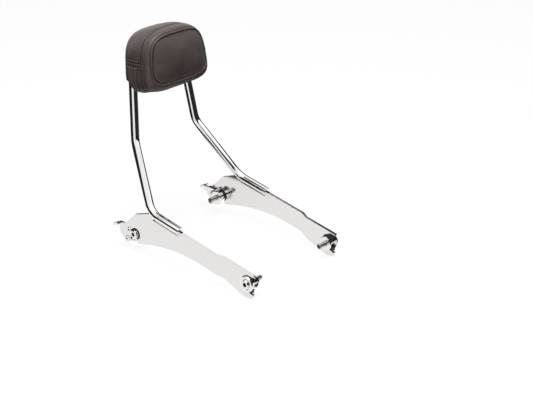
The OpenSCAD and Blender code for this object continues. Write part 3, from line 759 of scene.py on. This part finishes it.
def walked_lines(bm, layout, count):
    """Distances over the cover: from the panel's seam, from the box seam, and round the pad."""
    turn, level = bm.verts.layers.int["turn"], bm.verts.layers.int["level"]
    grid = [[None] * len(layout) for _ in range(count)]
    for v in bm.verts:
        if grid[v[turn]][v[level]] is None:
            grid[v[turn]][v[level]] = v.co.copy()
    kinds = [kind for kind, _, _ in layout]
    panel, box = kinds.index("strip"), kinds.index("band")
    from_panel, from_box = [], []
    for line in grid:
        walked = [0.0]
        for a, b in zip(line, line[1:]):
            walked.append(walked[-1] + (b - a).length)
        from_panel.append([w - walked[panel] for w in walked])
        from_box.append([w - walked[box] for w in walked])
    around = [0.0]
    for i in range(count - 1):
        around.append(around[-1] + (grid[i + 1][box] - grid[i][box]).length)
    return from_panel, from_box, around


def sewn_moves(sizes, bm, layout, angles):
    """How far each point of the cover moves along its normal, and how much shade is painted on it in the
    sewn grooves.
    """
    turn, level = bm.verts.layers.int["turn"], bm.verts.layers.int["level"]
    inside = pad_space(sizes).inverted()
    from_panel, from_box, around = walked_lines(bm, layout, len(angles))
    channels = [sizes.channel_first + sizes.channel_step * k for k in range(sizes.channels)]
    moves, sewn = [], []
    for v in bm.verts:
        p = inside @ v.co
        up = p.z - sizes.middle_up
        d, w, at = from_panel[v[turn]][v[level]], from_box[v[turn]][v[level]], around[v[turn]]
        upper, lower = up - sizes.mid_seam, up - sizes.mid_seam + sizes.cross_gap
        rim = 1 - smooth_step(0.038, 0.046, w)
        band = smooth_step(0.0008, 0.0035, w) * rim
        face = 1 - smooth_step(-0.004, 0.0, w)
        side = smooth_step(0.045, 0.056, abs(p.y)) * band
        corner = smooth_step(0.0, -0.004, lower) * smooth_step(0.020, 0.052, abs(p.y)) * band
        # Each seam: distance from it, depth, width, shoulders, where it runs, how dark its painted shade
        # is, width of that painted shade
        seams = (
            (d, sizes.panel_depth * 0.8, 0.0009, 0.30, 1, 0.8, 0.0009),
            (d - sizes.strip, 0.0011, 0.0008, 0.22, face, 0.75, 0.0009),
            (w, sizes.seam_depth, 0.0010, 0.34, 1, 1, 0.0012),
            (w - sizes.band_line, 0.0008, 0.0008, 0.25, 1, 0.5, 0.0007),
            (upper, 0.0017, 0.0010, 0.45, side, 0.8, 0.0011),
            (lower, 0.0015, 0.0010, 0.45, side, 0.8, 0.0011),
        )
        move = sum(where * dip(gap, *form) for gap, *form, where, _, _ in seams)
        # Painted shade along the bottom of each seam's groove
        dark = max(share * where * peak(gap, width) for gap, *_, where, share, width in seams)
        if 0 < d < sizes.strip:
            move += 0.0010 * math.sin(math.pi * d / sizes.strip)
        for k, channel in enumerate(channels):
            wander = 0.0012 * noise.noise(Vector((at * 26, k * 5.1, 0)))
            move += corner * dip(w - channel - wander, 0.0029, 0.0017, 0.5)
            # Painted shade along the bottom of each channel's groove
            dark = max(dark, 0.85 * corner * peak(w - channel, 0.0012))
        # Gathers beside the seams and across the cross seams, then a broad unevenness
        pull = math.sin(2 * math.pi * at / 0.0074 + 3 * noise.noise(v.co * 55))
        near = math.exp(-abs(w) / 0.006) + 0.55 * math.exp(-abs(d) / 0.0045)
        bend = smooth_step(0.5, 0.85, abs(p.y) / sizes.half_width)
        bend *= smooth_step(0.45, 0.8, abs(up) / sizes.half_height)
        move += 0.00020 * pull * near * (0.35 + 1.2 * bend) * rim
        cross = math.exp(-abs(upper + sizes.cross_gap / 2) / 0.012) * side
        move += 0.0004 * cross * math.sin(w * 640 + 2 * noise.noise(v.co * 50))
        move += 0.00030 * noise.noise(v.co * 38 + Vector((7, 3, 1))) * rim
        moves.append(v.normal * move)
        sewn.append(dark)
    return moves, sewn


class SISSYBAR_OT_pad_cover(Operator):
    """Makes the sewn leather cover of the backrest"""

    bl_idname = "sissybar.pad_cover"
    bl_label = "Leather cover"

    def execute(self, context):
        sizes = context.scene.sissy_pad
        layout = rings(sizes, 1.0)
        angles = ring_angles(sizes, 0.0024)
        bm = loft(sizes, layout, angles)
        bmesh.ops.recalc_face_normals(bm, faces=bm.faces)
        swell(sizes, bm, context)
        bm.normal_update()
        moves, sewn = sewn_moves(sizes, bm, layout, angles)
        for v, move in zip(bm.verts, moves):
            v.co += move
        leather = leather_finish(context.scene.sissy_finish)
        piece = finish_mesh("leather_cover", bm, leather, "rack", "leather", "pad_cover")
        # The seam attribute carries the painted groove shade to the leather's colour
        piece.data.attributes.new("seam", "FLOAT", "POINT").data.foreach_set("value", sewn)
        applied(piece, "SOLIDIFY", thickness=sizes.leather, offset=-1)
        cutter = leg_openings(sizes)
        applied(piece, "BOOLEAN", operation="DIFFERENCE", solver="MANIFOLD", object=cutter)
        bpy.data.objects.remove(cutter)
        smoothed(piece)
        return {"FINISHED"}


def swell(sizes, bm, context):
    """Moves the points of the cover out to the swollen pad, and smooths them."""
    inside = pad_space(sizes).inverted()
    body = swollen_pad(sizes)
    tree = BVHTree.FromObject(body, context.evaluated_depsgraph_get())
    under, reach = 0.008, 0.02
    steps = []
    for v in bm.verts:
        hit, _, _, distance = tree.ray_cast(v.co - v.normal * under, v.normal, reach)
        gain = 0.0 if hit is None else max(-0.001, min(sizes.puff, distance - under))
        steps.append(v.normal * gain * smooth_step(-0.006, 0.002, (inside @ v.co).x))
    for v, step in zip(bm.verts, steps):
        v.co += step
    bpy.data.objects.remove(body)
    face = [v for v in bm.verts if (inside @ v.co).x > sizes.seam + 0.004]
    side = [v for v in bm.verts if -0.003 < (inside @ v.co).x < sizes.seam - 0.002]
    axes = {"use_axis_x": True, "use_axis_y": True, "use_axis_z": True}
    for verts, times in ((face, 9), (side, 3)):
        for _ in range(times):
            bmesh.ops.smooth_vert(bm, verts=verts, factor=0.5, **axes)


class SISSYBAR_OT_stitches(Operator):
    """Sews the rows of thread beside the seams of the cover"""

    bl_idname = "sissybar.stitches"
    bl_label = "Stitches"

    def execute(self, context):
        sizes, thread = context.scene.sissy_pad, context.scene.sissy_thread
        graph = context.evaluated_depsgraph_get()
        cover = BVHTree.FromObject(bpy.data.objects["leather_cover"], graph)
        place = pad_space(sizes)
        slant = Matrix.Rotation(thread.slant, 4, "Z")
        grow = Matrix.Diagonal((thread.reach, thread.thickness * 1.25, thread.thickness, 1))
        above, reach = 0.012, 0.02
        bm = bmesh.new()
        for line in stitch_rows(sizes, thread):
            for (at, out), (ahead, _) in zip(line[::2], line[1::2]):
                outward = (place.to_3x3() @ out).normalized()
                hit, normal, _, _ = cover.ray_cast(place @ at + outward * above, -outward, reach)
                if hit is None:
                    continue
                along = -(place @ ahead - place @ at).cross(normal).cross(normal).normalized()
                turn = Matrix((along, normal.cross(along), normal)).transposed().to_4x4()
                lie = Matrix.Translation(hit) @ turn @ slant @ grow
                bmesh.ops.create_uvsphere(bm, u_segments=6, v_segments=4, radius=0.5, matrix=lie)
        if not bm.verts:
            raise RuntimeError("no stitch lies on the cover")
        cord = thread_finish(context.scene.sissy_finish)
        finish_mesh("cover_stitches", bm, cord, "rack", "leather")
        return {"FINISHED"}


def stitch_rows(sizes, thread):
    """Rows of places half a stitch apart, each with the way out of the leather there."""
    def edge(t, ahead):
        """Place on the pad's outline, and out from it."""
        flat = pad_edge(sizes, t) * band_share(sizes, ahead)
        wide = pad_edge(sizes, t + 0.01) - pad_edge(sizes, t - 0.01)
        return Vector((ahead, flat.x, sizes.middle_up + flat.y)), Vector((0, wide.y, -wide.x))

    def strip(t):
        """Place on the middle of the strip, and out from it."""
        share = sizes.strip * 0.5 / (pad_edge(sizes, t) - panel_edge(sizes, t)).length
        at, low, high = (ring_point(sizes, ("strip", share + step, 0), t) for step in (0, -0.02, 0.02))
        return at, (high - low).cross(ring_point(sizes, ("strip", share, 0), t + 0.01) - at)

    angles = [sweep(i, 1440) for i in range(1441)]
    rows = [[edge(t, sizes.seam + off) for t in angles] for off in (thread.beside, -thread.beside)]
    rows.append([strip(t) for t in angles])
    band = [sizes.seam - 0.0085 - 0.0005 * k for k in range(48)]
    for up in (sizes.mid_seam + thread.cross, sizes.mid_seam - sizes.cross_gap - thread.cross):
        power = sizes.top_square if up > 0 else sizes.low_square
        t = math.asin(math.copysign(abs(up / sizes.half_height) ** (power / 2), up))
        rows += [[edge(turn, ahead) for ahead in band] for turn in (t, math.pi - t)]
    return [evenly(row, thread.pitch / 2) for row in rows]


def evenly(line, step):
    """Picks places at even distances along a line of (place, way out) pairs."""
    out, left = [line[0]], step
    for (a, _), (b, way) in zip(line, line[1:]):
        left -= (b - a).length
        if left <= 0:
            out.append((b, way))
            left += step
    return out


def leg_openings(sizes):
    """Cutter for the two slots that the hoop's legs leave the pad by, open to the back."""
    bm = bmesh.new()
    place = pad_space(sizes)
    below_pad, to_back = 0.012, 2.6
    tilt = math.atan2(sizes.leg_low - sizes.leg_high, sizes.middle_up)
    low = sizes.middle_up - sizes.half_height - below_pad
    tall = (sizes.middle_up - sizes.slot_top - low) / math.cos(tilt)
    y = sizes.leg_low - low * math.tan(tilt)
    for _, side in SIDES:
        fresh = bmesh.ops.create_cone(
            bm, cap_ends=True, segments=48, radius1=sizes.tube_room, radius2=sizes.tube_room, depth=tall,
            matrix=Matrix.Translation((0, 0, tall / 2)),
        )["verts"]
        for v in fresh:
            if v.co.x < 0:
                v.co.x *= to_back
        turn = Matrix.Rotation(side * tilt, 4, "X")
        stand = place @ Matrix.Translation((0, side * y, low)) @ turn
        bmesh.ops.transform(bm, matrix=stand, verts=fresh)
    bmesh.ops.recalc_face_normals(bm, faces=bm.faces)
    return linked("leg_cutter", bm)


class SISSYBAR_OT_chrome(Operator):
    """Plates the hoop, the side plates and the docking hardware"""

    bl_idname = "sissybar.chrome"
    bl_label = "Chrome parts"

    def execute(self, context):
        tones = context.scene.sissy_finish
        tube = chrome_finish("chrome_tube", tones.chrome, 0.045)
        plate = chrome_finish("chrome_plate", shade(tones.chrome, 0.885), 0.06, 0.00003, 28)
        hard = chrome_finish("chrome_hardware", shade(tones.chrome, 0.95), 0.07, 0.00001, 60)
        bright = shade(tones.chrome, 0.9)
        # Key sockets, where shade is painted: their axis, radius, and the distance of their rim from the
        # plane of symmetry
        dock = screw_finish("docking_bolt", bright, 0.1, 0.0015,
                            [(DOCK_REAR, 0.0045, 0.1287), (DOCK_FRONT, 0.0045, 0.1247)])
        latch = screw_finish("latch_screw", bright, 0.1095, 0.001,
                             [(axis, 0.0023, 0.1262) for axis in (LATCH_PIVOT, LATCH_STOP)])
        dress(["hoop_tube"] + both("tube_plug"), tube)
        dress(both("side_plate"), plate)
        dress(both("dock_spool_rear", "dock_spool_front", "cup_washer", "latch_lever"), hard)
        dress(both("dock_bolt_rear", "dock_bolt_front"), dock)
        dress(both("latch_pivot_screw", "latch_stop_screw"), latch)
        return {"FINISHED"}


class SISSYBAR_OT_small_parts(Operator):
    """Finishes the nuts, washers, liners, bracket, pan and back cover"""

    bl_idname = "sissybar.small_parts"
    bl_label = "Small parts"

    def execute(self, context):
        tones = context.scene.sissy_finish
        zinc = dull_metal_finish("zinc_plate", tones.zinc, 0.34)
        liner = black_finish("moulded_liner", tones.rubber, 0.5, 900, 0.00006)
        paint = black_finish("powder_coat", tones.paint, 0.42, 700, 0.00005)
        plastic = black_finish("moulded_plastic", tones.plastic, 0.55, 1100, 0.00012)
        dress(both("latch_nuts") + ["pad_tee_nuts", "pad_washers", "pad_screws"], zinc)
        dress(both("dock_liner_rear", "dock_liner_front"), liner)
        dress(["pad_bracket", "back_cover_screws"], paint)
        dress(["back_cover", "pad_pan"], plastic)
        dress(["pad_foam"], foam_finish(tones))
        return {"FINISHED"}


class SISSYBAR_OT_springs(Operator):
    """Winds the two latch springs"""

    bl_idname = "sissybar.springs"
    bl_label = "Latch springs"

    def execute(self, context):
        sizes = context.scene.sissy_spring
        finish = dull_metal_finish("spring_wire", context.scene.sissy_finish.wire, 0.3)
        for side_name, side in SIDES:
            bm = wound_spring(sizes)
            if side < 0:
                bmesh.ops.scale(bm, vec=(1, -1, 1), verts=bm.verts)
            bmesh.ops.recalc_face_normals(bm, faces=bm.faces)
            piece = finish_mesh(f"torsion_spring_{side_name}", bm, finish, None, "spring_steel",
                                f"latch_spring_{side_name}")
            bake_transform(piece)
        return {"FINISHED"}


def wound_spring(sizes):
    """A wire ring spun into the coil, with both ends drawn out into straight legs."""
    pivot = Vector((sizes.pivot_x, 0, sizes.pivot_z))
    ray = Vector((math.cos(sizes.begin), 0, math.sin(sizes.begin)))
    bm = bmesh.new()
    ring = bmesh.ops.create_circle(bm, cap_ends=False, segments=8, radius=sizes.wire / 2)["verts"]
    along = Vector((-ray.z, 0, ray.x))
    turn = Matrix((ray, Vector((0, 1, 0)), along)).transposed().to_4x4()
    start = pivot + ray * sizes.coil + Vector((0, sizes.inner_y, 0))
    bmesh.ops.transform(bm, matrix=Matrix.Translation(start) @ turn, verts=ring)
    first = list(bm.edges)
    swept = 2 * math.pi * sizes.turns + sizes.extra
    steps = int(swept / math.radians(17))
    rise = (sizes.outer_y - sizes.inner_y) / steps
    spun = bmesh.ops.spin(bm, geom=first, cent=pivot, axis=(0, -1, 0), dvec=(0, rise, 0), angle=swept,
                          steps=steps, use_merge=False)
    last = [g for g in spun["geom_last"] if isinstance(g, bmesh.types.BMEdge)]
    finish = sizes.begin + swept
    for edges, heading, reach in (
        (first, sizes.begin - math.pi / 2, sizes.fixed_leg),
        (last, finish + math.pi / 2, sizes.moving_leg),
    ):
        grown = bmesh.ops.extrude_edge_only(bm, edges=edges)["geom"]
        verts = [g for g in grown if isinstance(g, bmesh.types.BMVert)]
        step = Vector((math.cos(heading), 0, math.sin(heading))) * reach
        bmesh.ops.translate(bm, vec=step, verts=verts)
    bmesh.ops.holes_fill(bm, edges=[e for e in bm.edges if e.is_boundary], sides=8)
    return bm


# Lamps: name, place, what it is aimed at, width, height and power in watts
LAMPS = (
    ("overhead", (0.4, -0.35, 2.6), (0, 0, 0.25), 1.9, 1.5, 55),
    ("front_left", (2.4, 1.6, 1.5), (0, 0, 0.2), 1.4, 1.4, 5),
    ("rear_right", (-1.6, -1.9, 2.3), (0, 0, 0.25), 1.2, 0.9, 1),
)
# Flat black cards: middle, measured up from the floor, turn, width and height
FLAT_CARDS = (
    ((-0.13, 0.035, 0.0775), math.pi / 2, 0.43, 0.085),
    ((-0.065, -0.02, 0.061), 0, 0.17, 0.12),
    ((-0.065, 0.22, 0.061), 0, 0.17, 0.12),
)
# Where the camera stands and how it is turned, in metres and degrees
CAMERA_AT = (1.75113, -1.69939, 1.13641)
CAMERA_TURN = (65.540, 0, 41.874)
WHITE = (1, 1, 1)


class SISSYBAR_OT_stage(Operator):
    """Lays the floor and sets the lights, the world and the camera"""

    bl_idname = "sissybar.stage"
    bl_label = "Studio"

    def execute(self, context):
        scene = context.scene
        stage = scene.sissy_stage
        low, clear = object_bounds()[0].z, 0.0004
        bm = bmesh.new()
        under = Matrix.Translation((0, 0, low - clear))
        bmesh.ops.create_grid(bm, x_segments=1, y_segments=1, size=stage.spread, matrix=under)
        floor = linked("floor", bm)
        floor.data.materials.append(floor_finish(stage))
        floor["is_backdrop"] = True
        black_cards(stage, low)
        for row in LAMPS:
            lamp(scene, *row)
        world_light(scene, stage)
        camera = bpy.data.cameras.new("camera")
        camera.lens = stage.lens
        camera.sensor_width = 36
        camera.clip_end = 200
        holder = bpy.data.objects.new("camera", camera)
        scene.collection.objects.link(holder)
        holder.location = CAMERA_AT
        holder.rotation_euler = [math.radians(turn) for turn in CAMERA_TURN]
        scene.camera = holder
        scene.view_settings.view_transform = "Standard"
        return {"FINISHED"}


def floor_finish(stage):
    """Pale floor that keeps a soft shadow and reads as near white to the camera."""
    s = Sheet("studio_floor")
    s.set(Base_Color=shade(stage.floor), Roughness=0.9, Specular_IOR_Level=0.0)
    glow = s.add("ShaderNodeEmission", None, {"Color": WHITE, "Strength": stage.glow})
    share = s.seen() * stage.glow_share
    s.finish(s.add("ShaderNodeMixShader", None, {0: share, 1: s.surface, 2: glow}))
    return s.material


def black_cards(stage, low):
    """Bent and flat black cards round the metal, which only its shine sees."""
    s = Sheet("black_card")
    s.set(Base_Color=(0.045, 0.045, 0.045), Roughness=1.0, Specular_IOR_Level=0.0)
    bm = bmesh.new()
    middle = Vector((0.06, 0, 0))
    near, rear, far = stage.card, stage.rear_card, stage.far_card
    # Bent cards: their section as (out, up), and the angles between which it is spun
    for line, begin, end in (
        ([(near * 0.82, 0.002), (near, 0.14), (near * 1.05, 0.33)], stage.card_from, stage.card_to),
        ([(rear, 0.002), (rear * 1.06, 0.34)], stage.card_to, stage.rear_turn),
        ([(rear, 0.05), (rear * 1.06, 0.34)], stage.rear_turn, stage.rear_to),
        ([(far, 0.02), (far, 0.42)], stage.far_from, stage.rear_to),
    ):
        verts = [bmesh.ops.create_vert(bm, co=(middle.x + line[0][0], 0, low + line[0][1]))["vert"][0]]
        edges = []
        for out, up in line[1:]:
            grown = bmesh.ops.extrude_vert_indiv(bm, verts=[verts[-1]])
            grown["verts"][0].co = (middle.x + out, 0, low + up)
            verts.append(grown["verts"][0])
            edges += grown["edges"]
        bmesh.ops.rotate(bm, cent=middle, matrix=Matrix.Rotation(begin, 3, "Z"), verts=verts)
        bmesh.ops.spin(bm, geom=edges, cent=middle, axis=(0, 0, 1), angle=end - begin, steps=32,
                       use_merge=False)
    upright = Matrix.Rotation(math.pi / 2, 4, "X")
    for at, turn, wide, tall in FLAT_CARDS:
        stand = Matrix.Translation((at[0], at[1], low + at[2])) @ Matrix.Rotation(turn, 4, "Z") @ upright
        stand = stand @ Matrix.Diagonal((wide, tall, 1, 1))
        bmesh.ops.create_grid(bm, x_segments=1, y_segments=1, size=0.5, matrix=stand)
    cards = linked("black_cards", bm)
    smoothed(cards)
    cards.data.materials.append(s.material)
    for kind in ("camera", "diffuse", "shadow", "transmission"):
        setattr(cards, f"visible_{kind}", False)
    cards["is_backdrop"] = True


def lamp(scene, name, at, to, wide, tall, power):
    """A soft rectangular light aimed at a point."""
    light = bpy.data.lights.new(name, "AREA")
    light.shape = "RECTANGLE"
    light.size, light.size_y = wide, tall
    light.energy = power
    holder = bpy.data.objects.new(name, light)
    holder.location = at
    holder.rotation_euler = (Vector(to) - Vector(at)).to_track_quat("-Z", "Y").to_euler()
    scene.collection.objects.link(holder)


def world_light(scene, stage):
    """World that lights the part softly, and is white to the camera, the shine and glass."""
    world = bpy.data.worlds.new("studio")
    scene.world = world
    nodes = Nodes(world, "ShaderNodeOutputWorld")
    soft, white = (nodes.add("ShaderNodeBackground", None, {"Color": WHITE, "Strength": strength})
                   for strength in (stage.sky, 1.0))
    nodes.finish(nodes.add("ShaderNodeMixShader", None, {0: nodes.seen(), 1: soft, 2: white}))


class SISSYBAR_PT_sidebar(Panel):
    """Sizes, finishes and pieces of the sissy bar"""

    bl_idname = "SISSYBAR_PT_sidebar"
    bl_label = "Sissy bar"
    bl_space_type = "VIEW_3D"
    bl_region_type = "UI"
    bl_category = "Sissy bar"

    def draw(self, context):
        for step in STEPS:
            self.layout.operator(step.bl_idname)
        for name, kind in GROUPS.items():
            box = self.layout.box()
            for size in kind.__annotations__:
                box.prop(getattr(context.scene, name), size)


STEPS = (
    SISSYBAR_OT_chrome,
    SISSYBAR_OT_small_parts,
    SISSYBAR_OT_pad_cover,
    SISSYBAR_OT_stitches,
    SISSYBAR_OT_springs,
    SISSYBAR_OT_stage,
)
GROUPS = {
    "sissy_pad": PadSizes,
    "sissy_thread": ThreadSizes,
    "sissy_spring": SpringSizes,
    "sissy_finish": Finishes,
    "sissy_stage": StageSizes,
}


CLASSES = (*GROUPS.values(), *STEPS, SISSYBAR_PT_sidebar)


def register():
    """Adds the sizes, the operators and the panel."""
    for kind in CLASSES:
        bpy.utils.register_class(kind)
    for name, kind in GROUPS.items():
        setattr(bpy.types.Scene, name, PointerProperty(type=kind))


def unregister():
    """Takes them out again."""
    for name in GROUPS:
        delattr(bpy.types.Scene, name)
    for kind in reversed(CLASSES):
        bpy.utils.unregister_class(kind)


def main():
    """Builds every piece in order."""
    register()
    bpy.ops.sissybar.chrome()
    bpy.ops.sissybar.small_parts()
    bpy.ops.sissybar.pad_cover()
    bpy.ops.sissybar.stitches()
    bpy.ops.sissybar.springs()
    bpy.ops.sissybar.stage()


if __name__ == "__main__":
    main()
